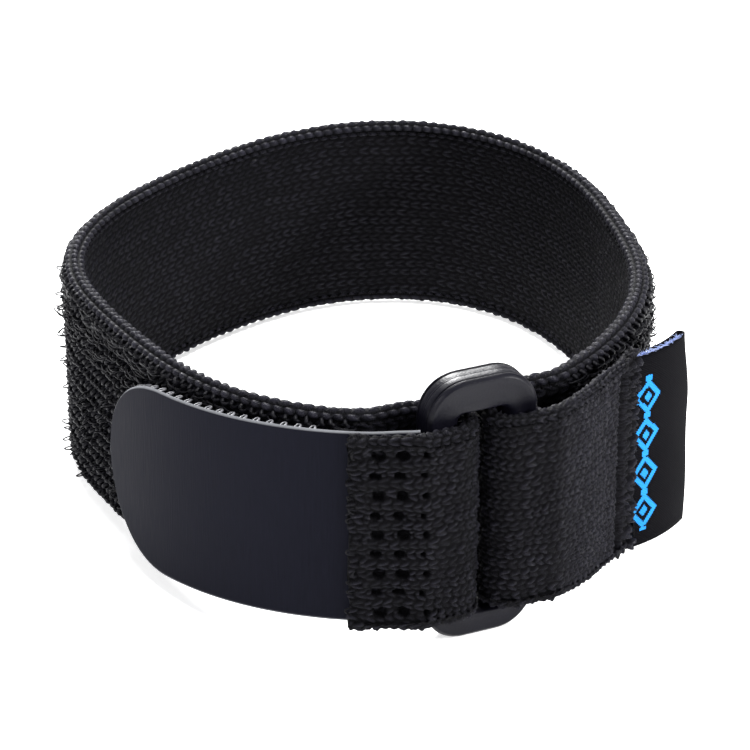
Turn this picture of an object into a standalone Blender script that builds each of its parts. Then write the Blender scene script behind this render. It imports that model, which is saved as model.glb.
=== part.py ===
"""Elastic hook-and-loop wrist strap, closed round an oval loop and passed through a plastic ring.

The loop's axis is +Z and the ring faces -Y. The strap stands on its lower edge and on the
ring's foot, and the origin ends up at the middle of the whole part's underside.
"""
import math

import bmesh
import bpy
from mathutils import Vector

MM = 0.001

# ---- webbing: two knitted faces with rubber strands between them
STRAP_WIDTH = 25.0 * MM
KNIT_FACE = 0.45 * MM
STRAND_SIZE = 0.6 * MM
STRAND_COUNT = 9
PILE_DEPTH = 0.6 * MM
PILE_MARGIN = 0.45 * MM
CLEARANCE = 0.3 * MM
WEBBING = 2 * KNIT_FACE + STRAND_SIZE + 2 * CLEARANCE

# ---- plan of the loop, measured on the face that touches the wrist
LOOP_RADIUS = 34.9 * MM
LOOP_OVAL = 4.5 * MM
LOOP_OVAL_TURN = math.radians(45.0)
LOOP_EGG = 1.3 * MM
LOOP_EGG_TURN = math.radians(80.0)
LOOP_CORNERS = 1.1 * MM
LOOP_CORNERS_TURN = math.radians(133.0)
RING_SIDE_SHIFT = 5.4 * MM
FLAT_PRESS = 2.4 * MM
FLAT_SOFTNESS = 0.25 * MM

# ---- plastic ring; the strap passes twice through its slot
SIDE_BAR = 3.75 * MM
FOOT_BAR = 2.9 * MM
HEAD_BAR = 3.6 * MM
RING_THICKNESS = 3.5 * MM
RING_CORNER = 4.4 * MM
RING_EDGE = 0.6 * MM
SLOT_PLAY = 0.5 * MM
SLOT_SLACK = 0.3 * MM
SLOT_CORNER = 0.8 * MM
SLOT_EDGE = 1.2 * MM
SLOT_WIDTH = 2 * (WEBBING + CLEARANCE) + SLOT_PLAY
FOLD_TUCK = 0.7 * MM
FOLD_WIDTH = STRAP_WIDTH - 2 * FOLD_TUCK
SLOT_HEIGHT = FOLD_WIDTH + 2 * CLEARANCE + SLOT_SLACK
SLOT_MIDDLE = FOOT_BAR + SLOT_HEIGHT / 2
RING_WIDTH = SLOT_WIDTH + 2 * SIDE_BAR
RING_HEIGHT = FOOT_BAR + SLOT_HEIGHT + HEAD_BAR
STRAP_LIFT = FOOT_BAR + CLEARANCE - FOLD_TUCK
LIFT_RUN = 60.0 * MM

# ---- folded ends; places are distances along the loop from the ring's middle
FOLD_INNER_END = RING_WIDTH / 2 + 0.1 * MM
FOLD_SWING_GAP = 0.7 * MM
EASE_START = RING_WIDTH / 2 + 0.7 * MM
ANCHOR_SPLIT = SLOT_WIDTH / 2 + SLOT_EDGE + 0.35 * MM
FLAP_EASE_END = EASE_START + 7.0 * MM
FLAP_END = EASE_START + 12.4 * MM
FLAP_PRESSED = 1.5 * MM
FLAP_WIDTH = STRAP_WIDTH - 0.8 * MM
SEAM_TO_END = 3.7 * MM
SEAM_PLACE = FLAP_END - SEAM_TO_END
SEAM_GROOVE = 0.5 * MM
SEAM_HALF_WIDTH = 0.6 * MM
THREAD_SIZE = 0.5 * MM
THREAD_MARGIN = 2.0 * MM

# ---- tail and hook tape
TAIL_START = EASE_START + CLEARANCE
TAIL_END = TAIL_START + RING_THICKNESS + 1.9 * MM
TAIL_PRESSED = 1.4 * MM
TAIL_WIDTH = STRAP_WIDTH - 2.0 * MM
TAIL_SEAM_TO_END = 1.3 * MM
TAIL_SEAM_PLACE = TAIL_END - TAIL_SEAM_TO_END
HOOK_TAPE = 0.9 * MM
HOOK_ROOT_START = TAIL_START + 0.8 * MM
TAB_LENGTH = 31.7 * MM
TAB_END = TAIL_END + TAB_LENGTH
TAB_WIDTH = STRAP_WIDTH - 2.0 * MM
TAB_DROP = 1.5 * MM

# ---- folded woven label
LABEL_LENGTH = 9.7 * MM
LABEL_HEIGHT = STRAP_WIDTH - 1.0 * MM
LABEL_THICKNESS = 0.9 * MM
LABEL_ROOT_THICKNESS = 0.6 * MM
LABEL_ROOT_START = SEAM_PLACE + 0.9 * MM
LABEL_DROP = 1.3 * MM
LABEL_LEAN = math.radians(16.0)
LABEL_CURL = math.radians(34.0)

# ---- facets
LOOP_STATIONS = 58
PATH_STEPS = 1440
CORNER_STEPS = 8
EDGE_STEPS = 3
FOLD_STEPS = 5
ROPE_SIDES = 8
FLAP_STATIONS = 16
TAIL_STATIONS = 9
HOOK_ROOT_STATIONS = 8
TAB_STATIONS = 11
TAB_END_STATIONS = 8
TAB_END_TURN = math.radians(80.0)
LABEL_ROOT_STATIONS = 4
LABEL_STATIONS = 6
SLOPE_STEP = 0.2 * MM
GROOVE_WALL = 0.2 * MM

# ---- places that follow from the sizes above
BAR_X = (SLOT_WIDTH + SIDE_BAR) / 2
OUTER_SKIN = 2 * (WEBBING + CLEARANCE) + RING_THICKNESS
PILE_INNER = WEBBING + CLEARANCE
PILE_OUTER = PILE_INNER + PILE_DEPTH
PILE_START = EASE_START + 1.9 * MM
HOOK_INNER = PILE_OUTER + CLEARANCE
HOOK_OUTER = HOOK_INNER + HOOK_TAPE
LABEL_INNER = PILE_OUTER + CLEARANCE
LABEL_OUTER = LABEL_INNER + LABEL_ROOT_THICKNESS
FLAP_SKIN = LABEL_OUTER + CLEARANCE + FLAP_PRESSED
TAIL_SKIN = HOOK_OUTER + CLEARANCE + TAIL_PRESSED

# name: (colour, roughness, metallic)
FINISHES = {
    "knit": ((0.012, 0.012, 0.015), 0.85, 0.0),
    "pile": ((0.010, 0.010, 0.012), 0.75, 0.0),
    "rubber": ((0.030, 0.027, 0.024), 0.60, 0.0),
    "hook_tape": ((0.016, 0.018, 0.026), 0.45, 0.0),
    "ring_plastic": ((0.020, 0.020, 0.026), 0.38, 0.0),
    "thread": ((0.014, 0.014, 0.018), 0.55, 0.0),
    "label": ((0.010, 0.010, 0.013), 0.60, 0.0),
}


def smooth(value):
    value = min(1.0, max(0.0, value))
    return value * value * (3 - 2 * value)


def blend(low, high, share):
    return low + (high - low) * share


# ---------------------------------------------------------------- plan of the loop

def softened(value):
    """The value where it is well above nought, easing to nought where it is below."""
    return value + math.log1p(math.exp(-value)) if value > 0 else math.log1p(math.exp(value))


def oval_point(angle):
    """A point of the loop's wrist side before the ring presses it flat."""
    radius = LOOP_RADIUS - LOOP_OVAL * math.cos(2 * angle + LOOP_OVAL_TURN)
    radius -= LOOP_EGG * math.cos(3 * angle + LOOP_EGG_TURN)
    radius += LOOP_CORNERS * math.cos(4 * angle + LOOP_CORNERS_TURN)
    return Vector((radius * math.cos(angle) + RING_SIDE_SHIFT, radius * math.sin(angle), 0.0))


def make_path():
    """Points of the loop from the ring's middle, anticlockwise, with the distance to each.

    In front the oval is pressed flat: FLAT_PRESS is how far it moves in behind the ring.
    """
    turns = [-math.pi / 2 + 2 * math.pi * i / PATH_STEPS for i in range(PATH_STEPS)]
    points = [oval_point(turn) for turn in turns]
    front = [i for i, point in enumerate(points) if point.y < 0]
    first = min(front, key=lambda i: abs(points[i].x))
    flat_depth = -points[first].y - FLAT_PRESS
    for point in points:
        point.y = FLAT_SOFTNESS * softened((point.y + flat_depth) / FLAT_SOFTNESS) - flat_depth
    points = points[first:] + points[:first + 1]
    distances = [0.0]
    for before, after in zip(points, points[1:]):
        distances.append(distances[-1] + (after - before).length)
    return points, distances, flat_depth


PATH, DISTANCES, FLAT_DEPTH = make_path()
LOOP_LENGTH = DISTANCES[-1]
RING_MID_Y = -(FLAT_DEPTH + WEBBING + CLEARANCE + RING_THICKNESS / 2)


def on_path(distance):
    """The point at a distance along the loop; a negative one runs to the other side."""
    distance %= LOOP_LENGTH
    low, high = 0, len(DISTANCES) - 1
    while high - low > 1:
        middle = (low + high) // 2
        if DISTANCES[middle] <= distance:
            low = middle
        else:
            high = middle
    share = (distance - DISTANCES[low]) / (DISTANCES[high] - DISTANCES[low])
    return PATH[low].lerp(PATH[high], share)


def outward(distance):
    """The unit normal of the loop there, pointing away from the wrist."""
    along = (on_path(distance + SLOPE_STEP) - on_path(distance - SLOPE_STEP)).normalized()
    return Vector((along.y, -along.x, 0.0))


def strap_base(y):
    """Height of the strap's lower edge: on the ground behind, lifted by the ring in front."""
    return STRAP_LIFT * (1 - smooth((y + FLAT_DEPTH) / LIFT_RUN))


class Station:
    """A place on a strip: a point of one face, the way through its thickness, and its base."""

    def __init__(self, point, normal, base):
        self.point = point
        self.normal = normal
        self.base = base

    def at(self, offset, height):
        place = self.point + self.normal * offset
        return Vector((place.x, place.y, self.base + height))


def loop_station(distance):
    point = on_path(distance)
    return Station(point, outward(distance), strap_base(point.y))


def across(width):
    """Lower and upper edge of something centred on the strap's width."""
    return (STRAP_WIDTH - width) / 2, (STRAP_WIDTH + width) / 2


def spread(start, end, count):
    return [blend(start, end, i / (count - 1)) for i in range(count)]


# ---------------------------------------------------------------- objects

for old in list(bpy.data.objects):
    bpy.data.objects.remove(old, do_unlink=True)

frame_empty = bpy.data.objects.new("strap_frame", None)
bpy.context.collection.objects.link(frame_empty)
PIVOTS = {"band": (frame_empty, Vector())}


def add_pivot(name, parent, place):
    """An empty on a joint's axis, parented to the body that the joint hangs on."""
    empty = bpy.data.objects.new(name + "_pivot", None)
    bpy.context.collection.objects.link(empty)
    parent_empty, parent_place = PIVOTS[parent]
    empty.parent = parent_empty
    empty.location = place - parent_place
    PIVOTS[name] = (empty, place)


def finish(name):
    material = bpy.data.materials.get(name)
    if material is None:
        colour, roughness, metallic = FINISHES[name]
        material = bpy.data.materials.new(name)
        material.use_nodes = True
        shader = material.node_tree.nodes["Principled BSDF"]
        shader.inputs["Base Color"].default_value = (*colour, 1.0)
        shader.inputs["Roughness"].default_value = roughness
        shader.inputs["Metallic"].default_value = metallic
        material.diffuse_color = (*colour, 1.0)
    return material


def add_object(name, body, finish_name, mesh_builder, sharp_angle=40.0):
    """Link a mesh made by mesh_builder under its body's pivot."""
    empty, place = PIVOTS[body]
    builder = bmesh.new()
    mesh_builder(builder)
    bmesh.ops.recalc_face_normals(builder, faces=builder.faces)
    bmesh.ops.translate(builder, verts=builder.verts, vec=-place)
    mesh = bpy.data.meshes.new(name)
    builder.to_mesh(mesh)
    builder.free()
    mesh.materials.append(finish(finish_name))
    mesh.shade_smooth()
    mesh.set_sharp_from_angle(angle=math.radians(sharp_angle))
    item = bpy.data.objects.new(name, mesh)
    bpy.context.collection.objects.link(item)
    item.parent = empty
    return item


def loft(sections, closed=False):
    """Join equal closed sections in order; open lofts get a flat cap at each end."""

    def build(builder):
        rings = [[builder.verts.new(point) for point in section] for section in sections]
        pairs = list(zip(rings, rings[1:]))
        if closed:
            pairs.append((rings[-1], rings[0]))
        for before, after in pairs:
            count = len(before)
            for i in range(count):
                j = (i + 1) % count
                builder.faces.new((before[i], before[j], after[j], after[i]))
        if not closed:
            builder.faces.new(rings[0])
            builder.faces.new(reversed(rings[-1]))

    return build


def slab(station, inner, outer, low, high):
    """A rectangular section between two offsets and two heights."""
    corners = ((inner, low), (outer, low), (outer, high), (inner, high))
    return [station.at(offset, height) for offset, height in corners]


def rope(station, offset, height, radius):
    """A round section with a flat side down, for a selvedge cord."""
    turns = [2 * math.pi * (i + 0.5) / ROPE_SIDES - math.pi / 2 for i in range(ROPE_SIDES)]
    reach = radius / math.cos(math.pi / ROPE_SIDES)
    return [station.at(offset + reach * math.cos(turn), height + reach * math.sin(turn)) for turn in turns]


# ---------------------------------------------------------------- the band

def make_band():
    start = FOLD_INNER_END + CLEARANCE
    end = LOOP_LENGTH - FOLD_INNER_END - FOLD_SWING_GAP
    distances = spread(start, end, LOOP_STATIONS)
    stations = [loop_station(distance) for distance in distances]
    edge = WEBBING + CLEARANCE
    top = STRAP_WIDTH - edge
    skin = [slab(station, 0.0, KNIT_FACE, edge, top) for station in stations]
    add_object("skin_knit", "band", "knit", loft(skin))
    face = [slab(station, WEBBING - KNIT_FACE, WEBBING, edge, top) for station in stations]
    add_object("face_knit", "band", "knit", loft(face))
    radius = WEBBING / 2
    for name, height in (("selvedge_bottom", radius), ("selvedge_top", STRAP_WIDTH - radius)):
        cord = [rope(station, radius, height, radius) for station in stations]
        add_object(name, "band", "knit", loft(cord))
    pitch = (top - edge) / STRAND_COUNT
    low = KNIT_FACE + CLEARANCE
    for number in range(STRAND_COUNT):
        height = edge + pitch * (number + 0.5)
        strand = [
            slab(station, low, low + STRAND_SIZE, height - STRAND_SIZE / 2, height + STRAND_SIZE / 2)
            for station in stations
        ]
        add_object(f"elastic_strand_{number + 1}", "band", "rubber", loft(strand))
    pile_end = LOOP_LENGTH - PILE_START
    inside = [distance for distance in distances if PILE_START < distance < pile_end]
    pile = [
        slab(loop_station(distance), PILE_INNER, PILE_OUTER, PILE_MARGIN, STRAP_WIDTH - PILE_MARGIN)
        for distance in [PILE_START, *inside, pile_end]
    ]
    add_object("loop_pile", "band", "pile", loft(pile))


# ---------------------------------------------------------------- folds round the ring's bars

def fold_stations(side, outer_end):
    """The strip from the wrist side, through the slot and round a side bar to the outside.

    Each station's point is on the strip's skin face, which ends up outermost.
    """
    base = STRAP_LIFT
    reach = SIDE_BAR / 2 - SLOT_EDGE
    depth = RING_THICKNESS / 2 - SLOT_EDGE
    radius = SLOT_EDGE + CLEARANCE + WEBBING
    corner_x = side * (BAR_X - reach)
    stations = [Station(Vector((side * FOLD_INNER_END, -FLAT_DEPTH, 0)), Vector((0, -1, 0)), base)]
    for corner_y, start in ((RING_MID_Y + depth, 90.0), (RING_MID_Y - depth, 180.0)):
        for turn in spread(start, start + 90.0, FOLD_STEPS):
            angle = math.radians(turn)
            way = Vector((side * math.cos(angle), math.sin(angle), 0))
            stations.append(Station(Vector((corner_x, corner_y, 0)) + way * radius, -way, base))
    outer_y = -(FLAT_DEPTH + OUTER_SKIN)
    stations.append(Station(Vector((side * outer_end, outer_y, 0)), Vector((0, 1, 0)), base))
    return stations


def make_fold(name, body, side, outer_end):
    low, high = across(FOLD_WIDTH)
    sections = [slab(station, 0.0, WEBBING, low, high) for station in fold_stations(side, outer_end)]
    add_object(name, body, "knit", loft(sections))


def outside_station(distance, end, end_skin):
    """The skin of a folded-back end: straight over the ring, then easing down on to the band.

    The station's normal points back to the band, through the strip's thickness.
    """

    def skin(place):
        low = loop_station(place)
        flat = Vector((place, -(FLAT_DEPTH + OUTER_SKIN), 0))
        share = smooth((abs(place) - EASE_START) / (end - EASE_START))
        return flat.lerp(low.point + low.normal * end_skin, share)

    along = (skin(distance + SLOPE_STEP) - skin(distance - SLOPE_STEP)).normalized()
    return Station(skin(distance), Vector((-along.y, along.x, 0)), loop_station(distance).base)


def eased(distance, end, start_size, end_size):
    return blend(start_size, end_size, smooth((abs(distance) - EASE_START) / (end - EASE_START)))


def groove_places(start, end, place, count):
    """Distances from start to end with the walls of a stitched groove put in."""
    walls = []
    for edge in (place - SEAM_HALF_WIDTH, place + SEAM_HALF_WIDTH):
        walls += [edge - GROOVE_WALL / 2, edge + GROOVE_WALL / 2]
    clear = SEAM_HALF_WIDTH + GROOVE_WALL
    return sorted(walls + [distance for distance in spread(start, end, count) if abs(distance - place) > clear])


def groove_depth(distance, place):
    return SEAM_GROOVE if abs(distance - place) < SEAM_HALF_WIDTH else 0.0


def make_flap():
    """The strip's anchored end, laid back over the band and sewn down."""
    sections = []
    for distance in groove_places(ANCHOR_SPLIT + CLEARANCE, FLAP_END, SEAM_PLACE, FLAP_STATIONS):
        station = outside_station(distance, FLAP_EASE_END, FLAP_SKIN)
        thickness = eased(distance, FLAP_EASE_END, WEBBING, FLAP_PRESSED)
        low, high = across(eased(distance, FLAP_EASE_END, FOLD_WIDTH, FLAP_WIDTH))
        sections.append(slab(station, groove_depth(distance, SEAM_PLACE), thickness, low, high))
    add_object("anchor_flap", "band", "knit", loft(sections))


def make_tail():
    """The free end of the webbing with the root of the hook tape sewn under it."""
    sections = []
    for distance in groove_places(TAIL_START, TAIL_END, TAIL_SEAM_PLACE, TAIL_STATIONS):
        station = outside_station(-distance, TAIL_END, TAIL_SKIN)
        thickness = eased(distance, TAIL_END, WEBBING, TAIL_PRESSED)
        low, high = across(eased(distance, TAIL_END, FOLD_WIDTH, TAIL_WIDTH))
        sections.append(slab(station, groove_depth(distance, TAIL_SEAM_PLACE), thickness, low, high))
    add_object("tail_webbing", "tail", "knit", loft(sections))
    low, high = across(TAIL_WIDTH - 2 * CLEARANCE)
    root = []
    for distance in spread(HOOK_ROOT_START, TAIL_END, HOOK_ROOT_STATIONS):
        station = outside_station(-distance, TAIL_END, TAIL_SKIN)
        inner = eased(distance, TAIL_END, WEBBING, TAIL_PRESSED) + CLEARANCE
        root.append(slab(station, inner, inner + HOOK_TAPE, low, high))
    add_object("hook_tape_root", "tail", "hook_tape", loft(root))


def make_tab():
    """The bare hook tape with a round end, lying a little askew on the pile."""
    half = TAB_WIDTH / 2
    start = TAIL_END + CLEARANCE
    places = [(distance, half) for distance in spread(start, TAB_END - half, TAB_STATIONS)[:-1]]
    for turn in spread(0.0, TAB_END_TURN, TAB_END_STATIONS):
        places.append((TAB_END - half * (1 - math.sin(turn)), half * math.cos(turn)))
    sections = []
    for distance, reach in places:
        middle = STRAP_WIDTH / 2 - TAB_DROP * smooth((distance - start) / (TAB_END - start))
        sections.append(slab(loop_station(-distance), HOOK_INNER, HOOK_OUTER, middle - reach, middle + reach))
    add_object("hook_tab", "tab", "hook_tape", loft(sections))


def make_thread(name, body, station):
    """A row of sewing thread lying in a pressed groove, upright across the strap."""
    radius = THREAD_SIZE / 2
    middle = SEAM_GROOVE - CLEARANCE - radius
    along = Vector((-station.normal.y, station.normal.x, 0))
    sections = []
    for height in (THREAD_MARGIN, STRAP_WIDTH - THREAD_MARGIN):
        turns = [2 * math.pi * i / ROPE_SIDES for i in range(ROPE_SIDES)]
        sections.append([
            station.at(middle + radius * math.cos(turn), height) + along * radius * math.sin(turn)
            for turn in turns
        ])
    add_object(name, body, "thread", loft(sections))


# ---------------------------------------------------------------- ring

def rounded_rectangle(width, height, corner):
    """Points round a rectangle with round corners, as (x, z)."""
    points = []
    centres = ((1, 1, 0.0), (-1, 1, 90.0), (-1, -1, 180.0), (1, -1, 270.0))
    for side_x, side_z, start in centres:
        centre_x = side_x * (width / 2 - corner)
        centre_z = side_z * (height / 2 - corner)
        for turn in spread(start, start + 90.0, CORNER_STEPS):
            angle = math.radians(turn)
            points.append((centre_x + corner * math.cos(angle), centre_z + corner * math.sin(angle)))
    return points


def make_ring():
    """A flat ring with a rounded section: the strap passes twice through its slot."""
    half = RING_THICKNESS / 2
    rings = []

    def outline(inset, depth, outer):
        if outer:
            points = rounded_rectangle(RING_WIDTH - 2 * inset, RING_HEIGHT - 2 * inset, RING_CORNER - inset)
            middle = RING_HEIGHT / 2
        else:
            points = rounded_rectangle(SLOT_WIDTH + 2 * inset, SLOT_HEIGHT + 2 * inset, SLOT_CORNER + inset)
            middle = SLOT_MIDDLE
        rings.append([Vector((x, RING_MID_Y + depth, z + middle)) for x, z in points])

    for edge, outer in ((RING_EDGE, True), (SLOT_EDGE, False)):
        turns = spread(0.0, math.pi / 2, EDGE_STEPS + 1)
        rim = [(edge * (1 - math.sin(turn)), half - edge * (1 - math.cos(turn))) for turn in turns]
        rim += [(inset, -depth) for inset, depth in reversed(rim)]
        facing = 1 if outer else -1
        for inset, depth in rim:
            outline(inset, depth * facing, outer)
    add_object("ring_buckle", "ring", "ring_plastic", loft(rings, closed=True))


# ---------------------------------------------------------------- label

def label_root_frame():
    """Where the free label starts, and the way it points."""
    distance = FLAP_END + CLEARANCE
    station = loop_station(distance)
    middle = LABEL_INNER + CLEARANCE / 2 + LABEL_THICKNESS / 2
    along = Vector((-station.normal.y, station.normal.x, 0))
    return station, station.at(middle, 0.0), along


def label_directions(along, normal, count):
    """Unit vectors of the label's stations, curling back towards the band."""
    ways = []
    for share in spread(0.0, 1.0, count):
        turn = LABEL_LEAN + LABEL_CURL * (0.5 - share)
        ways.append(along * math.cos(turn) + normal * math.sin(turn))
    return ways


def make_label():
    low, high = [height - LABEL_DROP for height in across(LABEL_HEIGHT)]
    root = [
        slab(loop_station(distance), LABEL_INNER, LABEL_OUTER, low, high)
        for distance in spread(LABEL_ROOT_START, FLAP_END, LABEL_ROOT_STATIONS)
    ]
    add_object("label_root", "band", "label", loft(root))
    station, place, along = label_root_frame()
    point = Vector((place.x, place.y, 0.0)) + along * LABEL_THICKNESS * math.sin(LABEL_LEAN)
    ways = label_directions(along, station.normal, LABEL_STATIONS)
    step = LABEL_LENGTH / (len(ways) - 1)
    sections = []
    for way in ways:
        here = Station(point.copy(), Vector((way.y, -way.x, 0)), station.base)
        sections.append(slab(here, -LABEL_THICKNESS / 2, LABEL_THICKNESS / 2, low, high))
        point += way * step
    add_object("label", "label", "label", loft(sections))


# ---------------------------------------------------------------- assembly

def add_pivots():
    add_pivot("ring", "band", Vector((BAR_X, RING_MID_Y, 0)))
    tail = outside_station(-(TAIL_START - CLEARANCE / 2), TAIL_END, TAIL_SKIN)
    add_pivot("tail", "ring", tail.point)
    tab = loop_station(-(TAIL_END + CLEARANCE / 2))
    tab_place = tab.at(HOOK_OUTER, 0)
    add_pivot("tab", "tail", Vector((tab_place.x, tab_place.y, 0)))
    station, place, along = label_root_frame()
    label_place = place + station.normal * LABEL_THICKNESS / 2
    add_pivot("label", "band", Vector((label_place.x, label_place.y, 0)))


def stand_on_origin():
    """Move the whole part so that the middle of its underside is the origin."""
    bpy.context.view_layer.update()
    corners = []
    for item in bpy.data.objects:
        if item.type == "MESH":
            corners += [item.matrix_world @ vertex.co for vertex in item.data.vertices]
    low = Vector([min(corner[axis] for corner in corners) for axis in range(3)])
    high = Vector([max(corner[axis] for corner in corners) for axis in range(3)])
    middle = (low + high) / 2
    frame_empty.location = (-middle.x, -middle.y, -low.z)
    bpy.context.view_layer.update()


add_pivots()
make_band()
make_fold("anchor_fold", "band", 1, ANCHOR_SPLIT)
make_flap()
make_thread("anchor_seam_thread", "band", outside_station(SEAM_PLACE, FLAP_EASE_END, FLAP_SKIN))
make_ring()
make_fold("slider_fold", "ring", -1, TAIL_START - CLEARANCE)
make_tail()
make_thread("tail_seam_thread", "tail", outside_station(-TAIL_SEAM_PLACE, TAIL_END, TAIL_SKIN))
make_tab()
make_label()
stand_on_origin()
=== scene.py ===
"""Looks of the elastic hook-and-loop wrist strap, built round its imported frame."""

import math

import bpy
import numpy as np
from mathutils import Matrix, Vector


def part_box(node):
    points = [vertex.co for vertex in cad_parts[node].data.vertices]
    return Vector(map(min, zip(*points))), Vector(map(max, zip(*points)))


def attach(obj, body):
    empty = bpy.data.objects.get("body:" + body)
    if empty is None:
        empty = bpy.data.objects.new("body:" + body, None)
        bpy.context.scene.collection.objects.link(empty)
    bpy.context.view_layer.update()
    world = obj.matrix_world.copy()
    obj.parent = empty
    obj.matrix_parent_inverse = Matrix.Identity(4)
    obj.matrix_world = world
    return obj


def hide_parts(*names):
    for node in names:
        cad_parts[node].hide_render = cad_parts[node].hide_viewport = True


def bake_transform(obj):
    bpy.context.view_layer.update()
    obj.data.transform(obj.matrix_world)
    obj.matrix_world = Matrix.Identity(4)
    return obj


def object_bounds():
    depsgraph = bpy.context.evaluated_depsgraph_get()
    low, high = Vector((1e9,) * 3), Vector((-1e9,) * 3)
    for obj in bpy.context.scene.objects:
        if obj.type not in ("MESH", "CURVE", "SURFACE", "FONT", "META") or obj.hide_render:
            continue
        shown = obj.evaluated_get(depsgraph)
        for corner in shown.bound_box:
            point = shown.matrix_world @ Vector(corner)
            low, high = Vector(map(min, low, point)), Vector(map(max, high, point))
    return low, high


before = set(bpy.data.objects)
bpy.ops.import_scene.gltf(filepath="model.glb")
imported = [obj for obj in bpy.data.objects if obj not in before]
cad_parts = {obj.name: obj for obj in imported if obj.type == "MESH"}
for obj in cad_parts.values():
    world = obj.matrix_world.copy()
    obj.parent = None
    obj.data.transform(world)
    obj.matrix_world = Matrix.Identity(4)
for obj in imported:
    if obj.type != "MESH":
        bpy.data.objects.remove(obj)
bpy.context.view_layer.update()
MM = 0.001
chance = np.random.default_rng(7)

# ---- sizes shared with the frame, in metres
STRAP_WIDTH = 25.0 * MM
WEBBING = 2.1 * MM
CLEARANCE = 0.3 * MM
TAPE_OUTER = 4.2 * MM
TAPE_THICKNESS = 0.32 * MM
ring_low, ring_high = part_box("ring_buckle")
RING_X, RING_Y = (ring_low.x + ring_high.x) / 2, (ring_low.y + ring_high.y) / 2
RING_WIDTH, RING_HEIGHT = ring_high.x - ring_low.x, ring_high.z
RING_THICKNESS = ring_high.y - ring_low.y
SLOT_WIDTH = 2 * (WEBBING + CLEARANCE) + 0.5 * MM
SLOT_EDGE = 1.2 * MM
FOOT_BAR = 2.9 * MM
HEAD_BAR = 3.6 * MM
FLAT_Y = RING_Y + RING_THICKNESS / 2 + CLEARANCE + WEBBING
OUTER_Y = RING_Y - RING_THICKNESS / 2 - CLEARANCE - WEBBING
FOLD_WIDTH = 23.6 * MM
EASE_START = RING_WIDTH / 2 + 0.7 * MM
STRAP_LIFT = 2.5 * MM
LIFT_RUN = 60.0 * MM
LOOP_RADIUS = 34.9 * MM
LOOP_SHIFT = 5.4 * MM

# ---- the cloth: a plain back's depth, the stretch worked as flap, and how near the ring the pile comes
BACK_SINK = 0.05 * MM
TURNED_LENGTH = 16 * MM
FREE_OF_PILE = 12.5 * MM

# ---- columns of a strip's rows after x, y and the way through it, and the parts of its section
BASE, WIDTH, THICKNESS, RUN = 4, 5, 6, 7
SKIN, UPPER, BACK, LOWER = 0, 1, 2, 3

# ---- places along the loop, counted from the ring's middle
INNER_END = RING_WIDTH / 2 + 0.1 * MM
SLIDER_START = 13.0 * MM
FLAP_EASE_END = EASE_START + 7.0 * MM
FLAP_END = EASE_START + 12.4 * MM
FLAP_SKIN = 5.7 * MM
SEAM_PLACE = FLAP_END - 3.7 * MM
TAIL_START = EASE_START + CLEARANCE
TAIL_END = TAIL_START + 5.4 * MM
TAIL_SKIN = 5.9 * MM
TAIL_WIDTH = 23.4 * MM
TAIL_THICKNESS = 1.4 * MM
TAIL_CUT = TAIL_END - 0.5 * MM
TAPE_START = TAIL_START + 0.8 * MM
TAB_END = TAIL_END + 31.7 * MM
TAB_WIDTH = 23.0 * MM
TAB_DROP = 1.5 * MM
LABEL_ROOT_START = SEAM_PLACE + 0.9 * MM
LABEL_LENGTH = 9.7 * MM
LABEL_HEIGHT = 24.0 * MM
LABEL_DROP = 1.3 * MM
LABEL_MIDDLE = 3.9 * MM
LABEL_LEAN, LABEL_CURL = math.radians(16), math.radians(34)
LABEL_TOP_STRETCH = 0.94


def smooth(value):
    value = np.clip(value, 0, 1)
    return value * value * (3 - 2 * value)


def mix(low, high, share):
    return low + (high - low) * share


def part_of(value):
    return value - np.floor(value)


def unit(vectors):
    return vectors / np.maximum(np.linalg.norm(vectors, axis=-1, keepdims=True), 1e-12)


def turned(vectors):
    """Each vector a quarter turn to the left."""
    return np.stack([-vectors[..., 1], vectors[..., 0]], -1)


def reached(points):
    """How far along a line of points each one lies."""
    return np.concatenate([[0], np.cumsum(np.linalg.norm(np.diff(points, axis=0), axis=1))])


def scatter(first, second=0.0):
    """An even spread of numbers from 0 to 1, always the same for the same pair."""
    return part_of(np.sin(first * 12.9898 + second * 78.233) * 43758.5453)


# ---------------------------------------------------------------- the loop's plan

def plan():
    """The loop's wrist side as points, with the distance to each: a circle with a few soft lobes."""
    turn = np.linspace(0, 2 * np.pi, 2881)[:-1] - np.pi / 2
    reach = np.full_like(turn, LOOP_RADIUS)
    for size, lobes, start in ((-4.5, 2, 45), (-1.3, 3, 80), (1.1, 4, 133)):
        reach += size * MM * np.cos(lobes * turn + math.radians(start))
    x = reach * np.cos(turn) + LOOP_SHIFT
    y = reach * np.sin(turn)
    first = int(np.argmin(np.abs(x) + (y > 0)))
    flat = y[first] + 2.4 * MM
    y = 0.25 * MM * np.logaddexp(0, (y - flat) / (0.25 * MM))
    points = np.stack([x + RING_X, y + FLAT_Y], 1)
    points = np.concatenate([points[first:], points[:first + 1]])
    return points, reached(points)


PATH, REACHED = plan()
LOOP = REACHED[-1]


def on_loop(distance):
    distance = np.mod(distance, LOOP)
    return np.stack([np.interp(distance, REACHED, PATH[:, i]) for i in (0, 1)], -1)


def outward(distance):
    return -turned(unit(on_loop(distance + 0.4 * MM) - on_loop(distance - 0.4 * MM)))


def base_height(y):
    return STRAP_LIFT * (1 - smooth((y - FLAT_Y) / LIFT_RUN))


def column(values, like):
    return np.broadcast_to(values, like.shape[:1])[:, None]


def strip(points, through, base, width, thickness, run):
    """One row for each place on a strip: x, y, the way through it, base, width, thickness and run."""
    return np.hstack([points, through, *(column(v, points) for v in (base, width, thickness, run))])


def loop_strip(distance, run):
    points = on_loop(distance)
    return strip(points, outward(distance), base_height(points[:, 1]), STRAP_WIDTH, WEBBING, run)


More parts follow.
